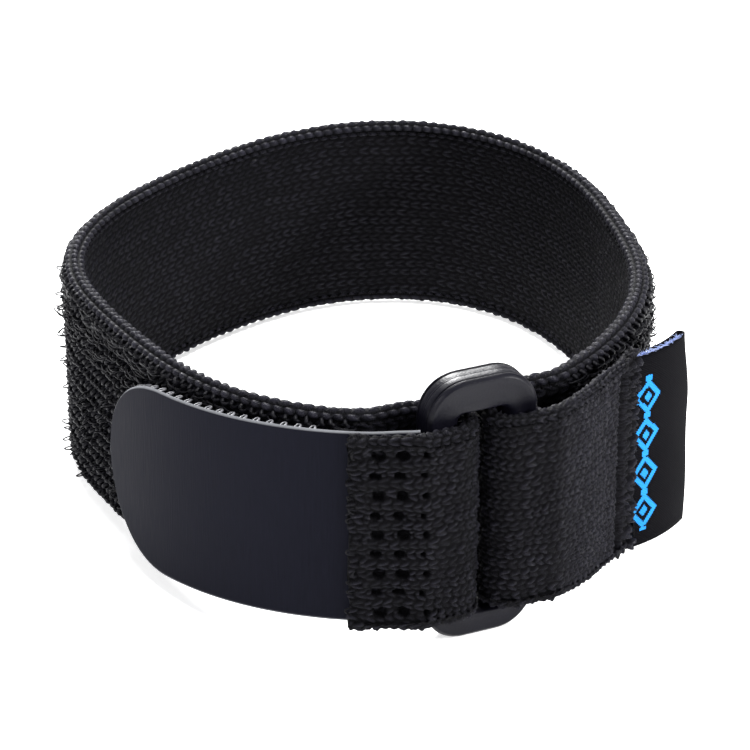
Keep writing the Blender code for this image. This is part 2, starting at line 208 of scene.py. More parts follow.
def fold_strip(side, outer_end, run, way):
    """From the wrist side through the slot and round a side bar; run grows by way times the length."""
    centre = RING_X + side * (SLOT_WIDTH / 2 + SLOT_EDGE)
    depth = RING_THICKNESS / 2 - SLOT_EDGE
    radius = SLOT_EDGE + CLEARANCE + WEBBING
    points, through = [[RING_X + side * INNER_END, FLAT_Y]], [[0, -1]]
    for y, start in ((RING_Y + depth, 90), (RING_Y - depth, 180)):
        for turn in np.radians(np.linspace(start, start + 90, 25)):
            heading = np.array([side * math.cos(turn), math.sin(turn)])
            points.append([centre, y] + radius * heading)
            through.append(-heading)
    points.append([RING_X + side * outer_end, OUTER_Y])
    through.append([0, 1])
    points, through = np.array(points), np.array(through)
    lengths = reached(points)
    width = mix(STRAP_WIDTH, FOLD_WIDTH, smooth(lengths / (3 * MM)))
    return strip(points, through, STRAP_LIFT, width, WEBBING, run + way * lengths)


def over_skin(distance, end, end_skin):
    """The outermost face of a folded-back end: straight over the ring, then easing on to the band."""
    flat = np.stack([distance + RING_X, np.full_like(distance, OUTER_Y)], -1)
    near = on_loop(distance) + outward(distance) * end_skin
    return mix(flat, near, smooth((np.abs(distance) - EASE_START) / (end - EASE_START))[:, None])


def along_skin(distance, end, end_skin):
    ahead, behind = [over_skin(distance + step, end, end_skin) for step in (0.2 * MM, -0.2 * MM)]
    return unit(ahead - behind)


def over_strip(distance, end, end_skin, end_width, end_thickness, run, way):
    points = over_skin(distance, end, end_skin)
    along = along_skin(distance, end, end_skin)
    eased = smooth((np.abs(distance) - EASE_START) / (end - EASE_START))
    lengths = reached(points)
    base = base_height(on_loop(distance)[:, 1])
    width = mix(FOLD_WIDTH, end_width, eased)
    thickness = mix(WEBBING, end_thickness, eased)
    return strip(points, turned(along), base, width, thickness, run + way * lengths)


def resampled(rows, step):
    """The same strip with places an equal step apart."""
    lengths = reached(rows[:, :2])
    keep = np.concatenate([[True], np.diff(lengths) > 1e-7])
    wanted = np.linspace(0, lengths[-1], int(lengths[-1] / step) + 1)
    made = np.stack([np.interp(wanted, lengths[keep], values[keep]) for values in rows.T], 1)
    made[:, 2:4] = unit(made[:, 2:4])
    return made


# ---------------------------------------------------------------- meshes

def net(rows, columns):
    """Quads of a net of points in which each row closes on itself."""
    start = np.arange(rows - 1)[:, None] * columns
    here = np.arange(columns)
    after = (here + 1) % columns
    corners = [start + here, start + after, start + columns + after, start + columns + here]
    return np.stack(corners, -1).reshape(-1, 4)


def end_caps(rows, columns, turned_over=False):
    """The faces that close a net's first and last rows."""
    caps = [np.arange(columns), np.arange(columns)[::-1] + (rows - 1) * columns]
    return [cap[::-1] for cap in caps] if turned_over else caps


def raised(flat, height):
    """Points in space from points on the plan and their heights."""
    return np.concatenate([flat, height[..., None]], -1)


def add_piece(name, points, faces, finish, caps=(), lie=None, rise_and_painted_shade=None):
    mesh = bpy.data.meshes.new(name)
    mesh.from_pydata(points.reshape(-1, 3).tolist(), [], faces.tolist() + [list(cap) for cap in caps])
    records = ("lie", "FLOAT_VECTOR", "vector", lie), ("rise_and_painted_shade", "FLOAT", "value", rise_and_painted_shade)
    for title, kind, field, values in records:
        if values is not None:
            data = mesh.attributes.new(title, kind, "POINT").data
            data.foreach_set(field, values.astype(np.float32).ravel())
    mesh.materials.append(finish)
    mesh.shade_smooth()
    mesh.update()
    piece = bpy.data.objects.new(name, mesh)
    bpy.context.collection.objects.link(piece)
    return piece


def tubes(paths, radius, sides):
    """Points and faces of thin round yarns along paths (yarn, place, xyz); radius is one for each place."""
    along = unit(np.gradient(paths, axis=1))
    lead = unit(paths[:, -1:] - paths[:, :1] + 1e-9) + [0.31, 0.17, 0.57]
    across = unit(np.cross(along, np.broadcast_to(lead, along.shape)))
    up = np.cross(along, across)
    turn = 2 * np.pi * np.arange(sides) / sides
    radius = np.broadcast_to(radius, paths.shape[:2])[..., None, None]
    ring = across[:, :, None] * np.cos(turn)[:, None] + up[:, :, None] * np.sin(turn)[:, None]
    points = paths[:, :, None] + ring * radius
    one = net(paths.shape[1], sides)
    shift = np.arange(len(paths)) * paths.shape[1] * sides
    faces = (one[None] + shift[:, None, None]).reshape(-1, 4)
    return points.reshape(-1, 3), faces


# Points round each whipped edge, and how far the faces lie inside the webbing before their relief.
ROPE_POINTS = 20
FACE_SINK = 0.22 * MM


def section(face_points, rope_points):
    """A strap's cross-section: skin face, upper rope, back face and lower rope.

    Each point has its part, its share of the face's width, and its turn round the rope from the edge.
    """
    share = (np.arange(face_points) + 0.5) / face_points
    turn = np.radians(np.linspace(-118, 118, rope_points))
    blank_face, blank_rope = np.zeros(face_points), np.zeros(rope_points)
    part = np.repeat([SKIN, UPPER, BACK, LOWER], [face_points, rope_points, face_points, rope_points])
    return (
        part,
        np.concatenate([share, blank_rope, share[::-1], blank_rope]),
        np.concatenate([blank_face, turn, blank_face, turn]),
    )


def knitted(name, rows, relief, step=0.2 * MM, ragged=0.0):
    """A webbing strip with real knitted relief on both faces and a whipped rope along each edge."""
    part, share, turn = section(int((STRAP_WIDTH - WEBBING) / step), ROPE_POINTS)
    base, width, thickness, run = [rows[:, i:i + 1] for i in (BASE, WIDTH, THICKNESS, RUN)]
    radius = thickness / 2
    lower, upper = radius, width - radius
    across = mix(lower, upper, share)
    across = np.where(part == UPPER, upper + radius * np.cos(turn), across)
    across = np.where(part == LOWER, lower - radius * np.cos(turn), across)
    through = np.where(part == SKIN, FACE_SINK, thickness - FACE_SINK)
    through = np.where(part == UPPER, radius * (1 + np.sin(turn)), through)
    through = np.where(part == LOWER, radius * (1 - np.sin(turn)), through)
    flat = rows[:, None, :2] + rows[:, None, 2:4] * through[..., None]
    height = base + (STRAP_WIDTH - width) / 2 + across
    points = raised(flat, height)
    way_along = np.gradient(points, axis=0)
    way_round = np.roll(points, -1, axis=1) - np.roll(points, 1, axis=1)
    normal = unit(np.cross(way_along, way_round))
    middle = points.mean(1, keepdims=True)
    if (normal * (points - middle)).sum() < 0:
        normal = -normal
    wrap = np.where(part == UPPER, upper + radius * (turn + np.pi / 2), across)
    wrap = np.where(part == LOWER, lower - radius * (np.pi / 2 - turn), wrap)
    # The relief's second value, the stitches' height from 0 to 1, becomes painted shade in the hollows and
    # a painted highlight on the tops in the knit's finish.
    lift, rise_and_painted_shade = relief(run, wrap, part[None], turn[None], rows)
    points = points + normal * lift[..., None]
    near = smooth(1 - np.abs(run[-1:] - run) / (1.3 * MM))
    level = wrap / (1.35 * MM) + 0.3 * np.sin(wrap / (2.1 * MM))
    knots = np.abs(np.sin(np.pi * level)) * (0.25 + 0.75 * scatter(np.floor(level), part[None]))
    points[..., :2] += (near * knots * ragged)[..., None] * unit(rows[-1, :2] - rows[-3, :2])
    count, columns = points.shape[:2]
    faces = net(count, columns)
    quad = points.reshape(-1, 3)[faces[0]]
    facing = np.cross(quad[2] - quad[0], quad[3] - quad[1])
    faces_out = np.dot(facing, quad.mean(0) - middle[0, 0]) >= 0
    if not faces_out:
        faces = faces[:, ::-1]
    lie = np.stack(np.broadcast_arrays(run, across, part.astype(float)), -1)
    return add_piece(name, points, faces, KNIT, end_caps(count, columns, faces_out), lie, rise_and_painted_shade)


# ---------------------------------------------------------------- knitted relief

def wander(run, across, reach=0.21 * MM):
    """A small uneven drift, so that no two rows lie quite alike."""
    first = np.sin(run / (2.3 * MM) + 1.7 * np.sin(across / (3.1 * MM)))
    second = np.sin(run / (0.83 * MM) + across / (1.9 * MM) + 2.0)
    third = np.sin(across / (1.1 * MM) - run / (4.7 * MM) + 0.6)
    return reach * (0.5 * first + 0.3 * second + 0.4 * third)


def chain(run, across, row, stitch, uneven=1.0):
    """Height from 0 to 1 of rows of chain stitches: two leaning lobes to each stitch."""
    across = across + wander(run, across) * uneven
    run = run + wander(across + 40 * MM, run) * uneven
    number = np.floor(across / row)
    beside = np.abs(across / row - number - 0.5)
    place = run / stitch + 0.5 * np.mod(number, 2) + 0.12 * np.sin(number * 2.4)
    along = part_of(place)
    lobe = np.exp(-(((beside - 0.08 - 0.27 * along) / 0.135) ** 2))
    vary = 1 - (0.35 + 0.15 * uneven) * scatter(number, np.floor(place))
    return lobe * np.sin(np.pi * along) ** 0.5 * vary


def rope(run, turn):
    """Height from 0 to 1 of the whipped edge: rows of small beads that lean left and right in turn."""
    level = turn / math.radians(62) + 0.5
    number = np.floor(level)
    beside = 2 * (level - number) - 1
    place = run / (1.25 * MM) + 0.5 * np.mod(number, 2) + 0.16 * beside * (2 * np.mod(number, 2) - 1)
    bead = np.abs(np.sin(np.pi * place)) ** 0.6
    vary = 0.75 + 0.25 * scatter(number + 3, np.floor(place))
    return bead * np.sqrt(np.maximum(1 - beside ** 2, 0)) * vary


def off_back(part, plain, changed):
    """The changed value everywhere but on the back face."""
    return np.where(part == BACK, plain, changed)


def body_relief(run, across, part, turn):
    """Inner face with fine chain stitches, outer face with the coarse ground that holds the pile."""
    skin = 0.88 * chain(run, across, 1.22 * MM, 1.32 * MM)
    ground = chain(run, across + 0.3 * MM, 1.5 * MM, 1.25 * MM)
    edge = rope(run, turn)
    rise_and_painted_shade = np.where(part == SKIN, skin, np.where(part == BACK, ground, edge))
    depth = np.where(part == SKIN, 0.36, np.where(part == BACK, 0.45, 0.62))
    sunk = np.where((part == UPPER) | (part == LOWER), 0.40, 0.10)
    return (depth * rise_and_painted_shade - sunk) * MM, rise_and_painted_shade


def folded(run, across, part, turn, share, fine=0.0):
    """Body relief that gives way, by share, to a folded stretch's: the skin's stitches over both edges."""
    lift, rise_and_painted_shade = body_relief(run, across, part, turn)
    skin = chain(run, across, 1.24 * MM, 1.12 * MM, 1.6)
    skin = mix(skin, chain(run + 0.42 * across, across, 0.84 * MM, 0.92 * MM, 1.4) ** 0.45, fine)
    stitched = (mix(0.62, 0.52, fine) * skin - np.where(part == SKIN, 0.20, 0.36)) * MM
    return off_back(part, lift, mix(lift, stitched, share)), off_back(part, rise_and_painted_shade, mix(rise_and_painted_shade, skin, share))


def in_slot(rows):
    """How far a row has left the flat side of the band for the slot, from 0 to 1."""
    return smooth((FLAT_Y - 0.2 * MM - rows[:, 1:2]) / (1.5 * MM))


def strap_relief(run, across, part, turn, rows):
    """Beyond the ring the stitches grow fine; a pressed groove and coarse knots end the flap."""
    to_end = np.abs(run[-1:] - run)
    outside = to_end < TURNED_LENGTH
    fine = np.where(outside, smooth((rows[:, :1] - RING_X - 7.0 * MM) / (5.0 * MM)), 0)
    lift, rise_and_painted_shade = folded(run, across, part, turn, np.maximum(in_slot(rows), outside), fine)
    knots = smooth((2.7 * MM - to_end) / (0.6 * MM)) * outside
    groove = np.exp(-(((to_end - 3.5 * MM) / (0.72 * MM)) ** 4)) * outside
    chunky = chain(run, across + 0.2 * MM, 1.6 * MM, 1.35 * MM, 2.2) ** 0.7
    rise_and_painted_shade = off_back(part, rise_and_painted_shade, mix(rise_and_painted_shade, chunky, knots))
    lift = off_back(part, lift, mix(lift, (1.05 * chunky - 0.22) * MM, knots))
    groove = groove * (part == SKIN)
    lift = lift - 0.75 * MM * groove
    lift = lift - 0.35 * MM * smooth((0.5 * MM - to_end) / (0.5 * MM)) * outside
    # Painted shade: the colour in the pressed groove is darkened.
    rise_and_painted_shade = rise_and_painted_shade * (1 - 0.6 * groove)
    return np.where((part == BACK) & (to_end < TURNED_LENGTH + 8 * MM), -BACK_SINK, lift), rise_and_painted_shade


def slider_relief(run, across, part, turn, rows):
    share = in_slot(rows) * (rows[:, :1] > RING_X - SLIDER_START)
    lift, rise_and_painted_shade = folded(run, across, part, turn, share)
    passed = rows[:, :1] > RING_X - RING_WIDTH / 2
    inside = (part == BACK) & (passed | (rows[:, 1:2] < RING_Y))
    return np.where(inside, -BACK_SINK, lift), rise_and_painted_shade


# How far along the tail each column of holes lies, and the size of its holes.
HOLE_COLUMNS = [(1.05 * MM, 0.62), (3.65 * MM, 1.0), (6.2 * MM, 1.0)]
HOLE_ROWS = 9


def tail_relief(run, across, part, turn, rows):
    """The stretched end: a net of holes between rows of stitches, and coarse stitches at the cut."""
    lift, rise_and_painted_shade = folded(run, across, part, turn, 1.0)
    lift = 0.75 * lift
    done = np.abs(run - run[:1]) - 0.5 * MM
    pitch = (rows[:, WIDTH:WIDTH + 1] - 4.6 * MM) / (HOLE_ROWS - 1)
    level = (across - 2.3 * MM + wander(run, across, 0.1 * MM)) / pitch
    number = np.clip(np.round(level), 0, HOLE_ROWS - 1)
    above = (level - number) * pitch
    shy = np.mod(number, 2)
    hole = np.zeros_like(above)
    for order, (place, size) in enumerate(HOLE_COLUMNS):
        offset = 0.35 * MM * shy + 0.3 * MM * (scatter(number, order) - 0.5)
        half_long = size * (0.66 - 0.10 * shy) * MM * (0.85 + 0.3 * scatter(number + 4, order))
        half_high = size * (0.56 - 0.16 * shy) * MM * (0.85 + 0.3 * scatter(number + 9, order))
        far = np.abs((done - place - offset) / half_long) ** 2.6 + np.abs(above / half_high) ** 2.6
        hole = np.maximum(hole, smooth((1.25 - far) / 0.5))
    end = 1 - smooth((np.abs(run[-1:] - run) - 1.2 * MM) / (0.8 * MM))
    chunky = chain(run, across, 1.3 * MM, 1.05 * MM)
    between = np.cos(2 * np.pi * level)
    rise_and_painted_shade = off_back(part, rise_and_painted_shade, mix(rise_and_painted_shade, chunky, end))
    lift = mix(lift, (0.50 * chunky - 0.06) * MM, end)
    net_of_holes = smooth((done - 0.1 * MM) / (1.6 * MM)) * (part == SKIN)
    holes = smooth((done - 0.1 * MM) / (0.3 * MM)) * (part == SKIN) * hole
    lift = lift - net_of_holes * 0.14 * MM * (1 + between) - 0.80 * MM * holes
    # Painted shade: the colour in the holes is darkened well below the stitches'.
    rise_and_painted_shade = np.where(part == SKIN, rise_and_painted_shade * (1 - hole) - 0.8 * hole, rise_and_painted_shade)
    return off_back(part, -BACK_SINK, lift), rise_and_painted_shade


# ---------------------------------------------------------------- finishes

class Wire:
    """An output of a finish's nodes, so that sums on it can be written as plain expressions."""

    def __init__(self, finish, socket):
        self.finish = finish
        self.socket = socket

    def math(self, operation, first, second=0.0):
        return self.finish.node("Math", {"operation": operation}, {0: first, 1: second})

    def __add__(self, other):
        return self.math("ADD", self, other)

    __radd__ = __add__

    def __mul__(self, other):
        return self.math("MULTIPLY", self, other)

    __rmul__ = __mul__

    def __sub__(self, other):
        return self.math("SUBTRACT", self, other)

    def __rsub__(self, other):
        return self.math("SUBTRACT", other, self)

    def __truediv__(self, other):
        return self.math("DIVIDE", self, other)

    def __pow__(self, other):
        return self.math("POWER", self, other)

    def __gt__(self, other):
        return self.math("GREATER_THAN", self, other)

    def __lt__(self, other):
        return self.math("LESS_THAN", self, other)

    def __abs__(self):
        return self.math("ABSOLUTE", self)

    def clamped(self):
        return self.finish.node("Clamp", {}, {0: self})

    def part(self):
        return self.math("FRACT", self)

    def floor(self):
        return self.math("FLOOR", self)


class Finish:
    """A material and the nodes that make it."""

    def __init__(self, name, **values):
        self.material = bpy.data.materials.new(name)
        self.material.use_nodes = True
        self.tree = self.material.node_tree
        self.shader = self.tree.nodes["Principled BSDF"]
        for title, value in values.items():
            self.set(title.replace("_", " ").title().replace("Ior", "IOR"), value)

    def node(self, kind, settings=None, inputs=None, output=0):
        made = self.tree.nodes.new("ShaderNode" + kind)
        for title, value in (settings or {}).items():
            setattr(made, title, value)
        for title, value in (inputs or {}).items():
            self.feed(made.inputs[title], value)
        return Wire(self, made.outputs[output])

    def feed(self, socket, value):
        if isinstance(value, Wire):
            self.tree.links.new(value.socket, socket)
        else:
            socket.default_value = value

    def set(self, title, value):
        self.feed(self.shader.inputs[title], value)

    def attribute(self, title, output):
        return self.node("Attribute", {"attribute_name": title}, {}, output)

    def lie(self):
        """How far along and across the cloth a point lies, and which face it is on."""
        spread = self.node("SeparateXYZ", {}, {0: self.attribute("lie", "Vector")})
        parts = spread.socket.node.outputs
        return tuple(Wire(self, parts[i]) for i in range(3))

    def noise(self, scale, detail, vector=None, roughness=0.5):
        place = vector or self.node("TexCoord", {}, {}, "Object")
        inputs = {"Vector": place, "Scale": scale, "Detail": detail, "Roughness": roughness}
        return self.node("TexNoise", {}, inputs)

    def colour(self, low, high, share):
        """A colour between two, each of them three numbers or the colour that other nodes make."""
        low, high = [end if isinstance(end, Wire) else (*end, 1) for end in (low, high)]
        settings = {"data_type": "RGBA", "clamp_factor": True}
        return self.node("Mix", settings, {0: share, 6: low, 7: high}, 2)

    def bump(self, height, depth, strength):
        inputs = {"Height": height, "Distance": depth, "Strength": strength}
        self.set("Normal", self.node("Bump", {}, inputs))


def knit_finish():
    """Nylon yarn with fine filaments: painted shade makes the hollows almost black, a painted highlight
    lightens the top of each stitch, and a coat there adds a faint gleam.
    """
    made = Finish("black_knit", specular_ior_level=0.10, coat_roughness=0.34)
    rise_and_painted_shade = made.attribute("rise_and_painted_shade", "Fac").clamped()
    patches = made.noise(160.0, 2.0)
    fibres = made.noise(4200.0, 3.0)
    specks = ((fibres - 0.60) * 5.0).clamped()
    # Painted shade and highlight: the base colour runs from almost black in the stitch hollows to lighter
    # on the stitch tops, by the stitches' height.
    share = rise_and_painted_shade ** 1.6 * (patches * 0.8 + 0.55) + (fibres - 0.5) * 0.3
    made.set("Base Color", made.colour((0.0007, 0.0007, 0.0014), (0.0175, 0.0168, 0.0265), share))
    made.set("Roughness", 0.80 - rise_and_painted_shade * 0.2 + (fibres - 0.5) * 0.3)
    made.set("Coat Weight", rise_and_painted_shade ** 1.3 * (specks * 1.1 + 0.12) * (patches + 0.4))
    along, across, _ = made.lie()
    twist = ((along + across * 0.8) * 4200.0).part()
    made.bump(abs(twist - 0.5) * 0.6 + fibres * 1.2, 0.00020, 1.0)
    return made.material


def pile_finish():
    """Fine, rather glossy nylon loops."""
    made = Finish("pile_yarn", specular_ior_level=0.14)
    shade = made.noise(900.0, 2.0)
    made.set("Base Color", made.colour((0.0008, 0.0008, 0.0013), (0.0085, 0.0083, 0.0120), shade))
    made.set("Roughness", 0.34 + shade * 0.25)
    made.bump(made.noise(9000.0, 1.0), 0.00004, 0.5)
    return made.material


def tape_finish():
    """Slate hook tape: faint lines drawn across its smooth back, and its cut edge painted pale as a
    highlight.
    """
    made = Finish("hook_tape_back", specular_ior_level=0.035)
    along, across, painted_edge_highlight = made.lie()
    place = made.node("CombineXYZ", {}, {0: along * 5200.0, 1: across * 260.0, 2: 0.0})
    lines = made.noise(1.0, 3.0, place)
    broad = made.noise(55.0, 2.0)
    share = lines * 0.75 + broad * 0.35 - 0.05
    back = made.colour((0.0028, 0.0031, 0.0062), (0.0085, 0.0088, 0.0150), share)
    # Painted highlight: the cut edge is coloured pale grey.
    made.set("Base Color", made.colour(back, (0.20, 0.205, 0.22), (painted_edge_highlight - 0.5).clamped() * 1.8))
    made.set("Roughness", 0.62 + (lines - 0.5) * 0.25)
    made.bump(lines, 0.00006, 0.5)
    return made.material


def hook_finish():
    made = Finish("hook_nylon", specular_ior_level=0.6)
    shade = made.noise(1500.0, 1.0)
    made.set("Base Color", made.colour((0.06, 0.06, 0.07), (0.26, 0.26, 0.28), shade))
    made.set("Roughness", 0.28 + shade * 0.2)
    return made.material


def ring_finish():
    """Satin moulded plastic with a very fine grain and faint rubbed marks."""
    made = Finish("ring_satin", specular_ior_level=0.17)
    grain = made.noise(4200.0, 2.0)
    cloud = made.noise(240.0, 3.0)
    rubbed = made.noise(900.0, 4.0, roughness=0.7)
    made.set("Base Color", made.colour((0.0022, 0.0021, 0.0042), (0.0054, 0.0052, 0.0100), cloud))
    made.set("Roughness", 0.38 + (cloud - 0.5) * 0.12 + (rubbed > 0.62) * 0.10)
    made.bump(grain * 0.7 + rubbed * 0.3, 0.00006, 0.8)
    return made.material


def thread_finish():
    made = Finish("sewing_thread", specular_ior_level=0.12)
    shade = made.noise(2500.0, 2.0)
    made.set("Base Color", made.colour((0.0008, 0.0008, 0.0012), (0.0080, 0.0080, 0.0105), shade))
    made.set("Roughness", 0.45 + shade * 0.2)
    made.bump(shade, 0.00006, 0.8)
    return made.material


def label_finish():
    """Black satin weave with a woven band of blue diamonds and small squares."""
    made = Finish("woven_label", specular_ior_level=0.035)
    along, across, front = made.lie()
    pick, end = 0.22 * MM, 0.18 * MM
    margin, repeat = 1.8 * MM, 4.8 * MM
    up = (across / pick).floor() * pick
    each_pick = made.node("CombineXYZ", {}, {0: (across / pick).floor(), 1: 0.0, 2: 0.0})
    ragged = made.noise(1.0, 1.0, each_pick) - 0.5
    beside = (along / end).floor() * end + ragged * (0.4 * MM) - 6.1 * MM
    part = ((up - margin) / repeat).part() - 0.5
    diamond = abs(beside) / (1.9 * MM) + abs(part) * 2.15
    outline = (diamond < 1.0) * (diamond > 0.62) + (diamond < 0.30)
    square = (abs(beside) < 0.5 * MM) * (abs(part) > 0.43)
    inside = (across > margin) * (across < 21.4 * MM) * (front > 0.5)
    motif = ((outline + square).clamped() * inside).clamped()
    warp = abs((along / (0.16 * MM)).part() - 0.5) * 2.0
    weft = abs((across / pick).part() - 0.5) * 2.0
    weave = warp * 0.35 + weft * 0.65
    cloth = made.colour((0.0007, 0.0007, 0.0011), (0.0030, 0.0028, 0.0045), weave)
    blue = made.colour((0.012, 0.17, 0.50), (0.035, 0.34, 0.90), weave)
    made.set("Base Color", made.colour(cloth, blue, motif))
    made.set("Roughness", 0.84 - weave * 0.12)
    made.bump(weave + motif * 0.9, 0.00007, 0.8)
    return made.material


def edge_yarn_finish():
    made = Finish("label_edge_yarn", sheen_weight=0.2)
    shade = made.noise(1400.0, 2.0)
    made.set("Base Color", made.colour((0.035, 0.12, 0.50), (0.62, 0.66, 0.74), shade ** 1.4))
    made.set("Roughness", 0.55 + shade * 0.15)
    made.bump(shade, 0.00005, 0.5)
    return made.material


def floor_finish():
    made = Finish("pale_floor", specular_ior_level=0.1, emission_color=(1, 1, 1, 1), emission_strength=0.62)
    made.set("Base Color", made.colour((0.90, 0.90, 0.90), (0.93, 0.93, 0.93), made.noise(3.0, 2.0)))
    made.set("Roughness", 0.9)
    return made.material


KNIT = knit_finish()
THREAD = thread_finish()

# ---------------------------------------------------------------- webbing

def build_strap():
    """The whole band: round the wrist, through the slot, round the right bar and back as the flap."""
    distance = np.arange(LOOP - SLIDER_START, INNER_END, -0.2 * MM)
    body = loop_strip(distance, -distance)
    fold = fold_strip(1, EASE_START, -INNER_END, 1)
    places = np.arange(EASE_START, FLAP_END, 0.1 * MM)
    flap_width, flap_thickness = STRAP_WIDTH - 0.8 * MM, 1.5 * MM
    flap = over_strip(places, FLAP_EASE_END, FLAP_SKIN, flap_width, flap_thickness, fold[-1, RUN], 1)
    rows = resampled(np.vstack([body, fold[1:], flap[1:]]), 0.2 * MM)
    piece = knitted("strap_webbing", rows, strap_relief, ragged=0.35 * MM)
    strands = [f"elastic_strand_{number}" for number in range(1, 10)]
    faces = ["skin_knit", "face_knit", "selvedge_top", "selvedge_bottom", "anchor_fold", "anchor_flap"]
    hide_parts(*faces, *strands)
    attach(piece, "band")
    return piece, rows


def build_slider():
    """The strip's other end: from the band through the slot and round the left bar."""
    distance = np.arange(-SLIDER_START, -INNER_END, 0.2 * MM)
    body = loop_strip(distance, -LOOP - distance)
    fold = fold_strip(-1, EASE_START - 0.6 * MM, -LOOP + INNER_END, -1)
    rows = resampled(np.vstack([body, fold[1:]]), 0.18 * MM)
    piece = knitted("slider_webbing", rows, slider_relief)
    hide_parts("slider_fold")
    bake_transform(piece)
    return piece, rows


def build_tail(run):
    """The stretched free end that lies back over the band, with its open net of holes."""
    places = np.arange(EASE_START - 1.1 * MM, TAIL_CUT, 0.05 * MM)
    rows = over_strip(-places, TAIL_END, TAIL_SKIN, TAIL_WIDTH, TAIL_THICKNESS, run + 0.5 * MM, -1)
    rows = resampled(rows, 0.15 * MM)
    piece = knitted("tail_knit", rows, tail_relief, step=0.15 * MM, ragged=0.60 * MM)
    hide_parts("tail_webbing")
    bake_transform(piece)
    return piece, rows


def build_frays(name, rows, body, count, reach):
    """Cut yarn loops that curl off a strip's raw end."""
    heights = np.linspace(1.6 * MM, STRAP_WIDTH - 3.2 * MM, count) + chance.normal(0, 0.15 * MM, count)
    end = rows[-1]
    way = unit(rows[-1, :2] - rows[-4, :2])
    bend = np.linspace(0, np.pi, 9)
    size = chance.uniform(0.2, 1.0, count)[:, None] ** 1.5 * reach
    half = chance.uniform(0.20, 0.42, count)[:, None] * MM
    out = size * np.sin(bend) - 0.35 * MM
    lift = chance.uniform(-0.1, 0.35, count)[:, None] * MM * np.sin(bend)
    high = heights[:, None] + half * np.cos(bend)
    depth = chance.uniform(0.3, 0.9, count)[:, None] * MM - lift
    flat = end[:2] + way * out[..., None] + end[2:4] * depth[..., None]
    points, faces = tubes(raised(flat, end[BASE] + high), 0.11 * MM, 6)
    piece = add_piece(name, points, faces, THREAD)
    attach(piece, body)
    return piece


def build_seam(name, place, end, skin, side, body, node, sunk):
    """A row of lock stitches across a folded-back end."""
    places = np.array([side * place])
    point = over_skin(places, end, skin)[0]
    through = turned(along_skin(places, end, skin)[0])
    base = base_height(on_loop(places)[0, 1])
    count, margin = 11, 1.7 * MM
    pitch = (STRAP_WIDTH - 2 * margin) / count
    share = np.linspace(0, 1, 9)
    heights = margin + pitch * (np.arange(count)[:, None] + 0.08 + 0.84 * share)
    depth = sunk - 0.26 * MM * np.sin(np.pi * share) ** 0.5
    flat = point + through * np.broadcast_to(depth, heights.shape)[..., None]
    radius = 0.17 * MM * np.sin(np.pi * (share * 0.9 + 0.05)) ** 0.4
    points, faces = tubes(raised(flat, base + heights), radius, 8)
    piece = add_piece(name, points, faces, THREAD)
    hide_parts(node)
    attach(piece, body)
    return piece


# ---------------------------------------------------------------- pile

def pile_paths(place, height, reach, half, heading, lean, sag):
    """Loops that stand on the band's outer face, one row of places for each."""
    point, way_out = on_loop(place), outward(place)
    beside = turned(way_out)
    bend = np.linspace(-0.12, 1.12, 9) * np.pi
    crest = reach[:, None] * np.maximum(np.sin(bend), 0)
    spread = half[:, None] * np.cos(bend)
    out = WEBBING - 0.1 * MM + reach[:, None] * np.sin(bend)
    shift = spread * np.cos(heading)[:, None] + lean[:, None] * crest
    flat = point[:, None] + way_out[:, None] * out[..., None] + beside[:, None] * shift[..., None]
    up = spread * np.sin(heading)[:, None] + sag[:, None] * crest
    return raised(flat, base_height(point[:, 1:]) + height[:, None] + up)


def build_pile():
    """Short fat knots over the band's outer face, and wiry loops that have been pulled up."""
    rows_across, pitch = 17, 1.18 * MM
    first, last = FREE_OF_PILE, LOOP - FREE_OF_PILE
    clear_of_flap = FLAP_END + 1.5 * MM
    distance = np.arange(first, last, pitch)
    place, row = [grid.ravel() for grid in np.meshgrid(distance, np.arange(rows_across))]
    count = len(place)
    gap = (STRAP_WIDTH - 2.6 * MM) / (rows_across - 1)
    place = place + chance.normal(0, 0.09 * MM, count) + (row % 2) * pitch * 0.2
    height = 1.3 * MM + row * gap + chance.normal(0, 0.06 * MM, count)
    pressed = np.where(place < clear_of_flap, 0.6, 1.0)
    reach = chance.uniform(0.34, 0.52, count) * MM * pressed
    lean, sag = chance.normal(0, 0.12, count), chance.normal(-0.1, 0.12, count)
    heading = np.where(row % 2, 0.9, -0.9) + chance.normal(0, 0.15, count)
    knots = pile_paths(place, height, reach, np.full(count, 0.34 * MM), heading, lean, sag)
    knot_points, knot_faces = tubes(knots, 0.235 * MM, 5)

    count = 1300
    place = chance.uniform(first, last, count)
    curled = chance.uniform(0, 1, count) < 0.34
    place = np.where(curled, np.round(place / pitch) * pitch, place)
    low, high = 1.6 * MM, STRAP_WIDTH - 1.6 * MM
    near_edge = high - 4.5 * MM * chance.uniform(0, 1, count) ** 1.5
    height = np.where(curled, chance.uniform(low, high, count), near_edge)
    reach = np.where(curled, chance.uniform(0.9, 1.8, count), chance.uniform(0.5, 0.95, count)) * MM
    reach = np.where(place > LOOP - TAB_END - 0.6 * MM, np.minimum(reach, 0.8 * MM), reach)
    reach = np.where(place < clear_of_flap, np.minimum(reach, 0.6 * MM), reach)
    half = np.where(curled, chance.uniform(0.42, 0.75, count), chance.uniform(0.8, 1.5, count)) * MM
    lean, sag = chance.normal(0, 0.25, count), chance.normal(-0.1, 0.25, count)
    heading = np.where(curled, chance.normal(0.7, 0.7, count), chance.normal(0, 0.12, count))
    wires = pile_paths(place, height, reach, half, heading, lean, sag)
    wire_points, wire_faces = tubes(wires, 0.082 * MM, 5)

    points = np.vstack([knot_points, wire_points])
    faces = np.vstack([knot_faces, wire_faces + len(knot_points)])
    piece = add_piece("pile_loops", points, faces, pile_finish())
    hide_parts("loop_pile")
    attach(piece, "band")
    return piece


# ---------------------------------------------------------------- hook tape

def tape_middle(place):
    """The height of the tape's middle line, which drops a little towards the tab's end."""
    drop = TAB_DROP * smooth((place - TAIL_END) / (TAB_END - TAIL_END))
    return base_height(on_loop(-place)[:, 1]) + STRAP_WIDTH / 2 - drop


